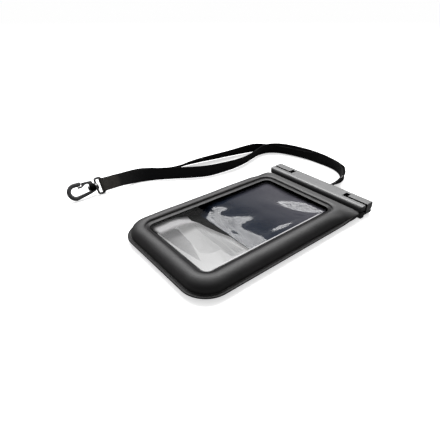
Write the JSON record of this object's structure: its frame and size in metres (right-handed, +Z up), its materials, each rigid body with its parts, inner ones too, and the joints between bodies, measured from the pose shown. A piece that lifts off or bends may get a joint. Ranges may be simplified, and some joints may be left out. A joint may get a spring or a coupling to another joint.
{
  "type": "waterproof phone pouch",
  "caption": "Padded waterproof phone pouch with a clear window, a latched clamp across its mouth, and a webbing lanyard loop with a swivel snap hook.",
  "frame": {"origin": "on the surface it lies on, under the middle of the pouch and its clamp, without the lanyard", "axes": "+Z up out of the window, +Y from the round bottom end to the clamp and its lug, +X across the pouch to the right"},
  "size_m": [0.2152, 0.2844, 0.017],
  "materials": {
    "frame_vinyl": "satin",
    "clear_film": "clear gloss",
    "panel_vinyl": "gloss",
    "clamp_plastic": "fine grain",
    "seal_rubber": "matte",
    "pin_steel": "drawn",
    "hook_plastic": "moulded",
    "webbing": "woven"
  },
  "bodies": {
    "pouch": {"front_frame": "frame_vinyl", "rear_frame": "frame_vinyl", "front_window": "clear_film", "rear_camera_window": "clear_film", "rear_panel": "panel_vinyl", "front_clamp_bar": "clamp_plastic", "rear_clamp_bar": "clamp_plastic", "front_sealing_strip": "seal_rubber", "rear_sealing_strip": "seal_rubber", "left_latch_pin": "pin_steel", "right_latch_pin": "pin_steel", "swivel_ring": "hook_plastic", "lanyard_strap": "webbing"},
    "left_latch": {"left_latch": "clamp_plastic"},
    "right_latch": {"right_latch": "clamp_plastic"},
    "snap_hook": {"snap_hook": "hook_plastic"}
  },
  "joints": [
    {"name": "left_latch_hinge", "type": "hinge", "parent": "pouch", "child": "left_latch", "pos_m": [-0.057, 0.0944, 0.0032], "axis": [0, -1, 0], "range_deg": [0, 90]},
    {"name": "right_latch_hinge", "type": "hinge", "parent": "pouch", "child": "right_latch", "pos_m": [0.057, 0.0944, 0.0032], "axis": [0, 1, 0], "range_deg": [0, 90]},
    {"name": "hook_swivel", "type": "hinge", "parent": "pouch", "child": "snap_hook", "pos_m": [-0.1474, -0.0811, 0.0089], "axis": [-0.0471, -0.9988, -0.0105], "continuous": true}
  ]
}
